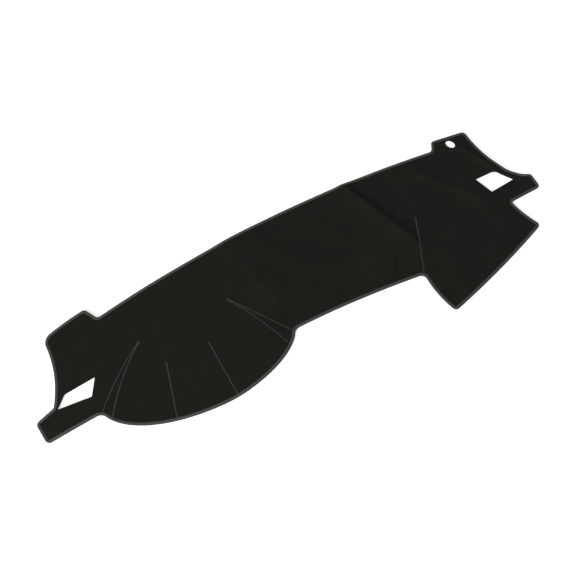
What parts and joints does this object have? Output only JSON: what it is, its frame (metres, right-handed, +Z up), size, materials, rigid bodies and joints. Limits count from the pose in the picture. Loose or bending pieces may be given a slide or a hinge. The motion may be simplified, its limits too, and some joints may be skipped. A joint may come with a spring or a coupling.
{
  "type": "dashboard cover mat",
  "caption": "Flat felt cover for a car's dashboard, with side vent cut-outs, a sensor hole, sewn darts and gussets, and an overlocked edge.",
  "frame": {"origin": "the middle of the mat's length and depth, on the surface it lies on", "axes": "+X along the dashboard towards the passenger's door, +Y towards the windscreen, +Z up out of the mat"},
  "size_m": [1.4394, 0.4718, 0.0136],
  "materials": {
    "felt": "matt short-pile felt, near black",
    "thread": "dark grey overlock thread"
  },
  "bodies": {
    "root": {"mat_panel": "felt", "driver_gusset": "felt", "centre_gusset": "felt", "overlock_back": "thread", "overlock_passenger": "thread", "overlock_flap": "thread", "overlock_centre": "thread", "overlock_lobe": "thread", "overlock_driver": "thread", "driver_gusset_seam": "thread", "centre_gusset_seam": "thread", "dart_seam_1": "thread", "dart_seam_2": "thread", "dart_seam_3": "thread"}
  },
  "joints": []
}
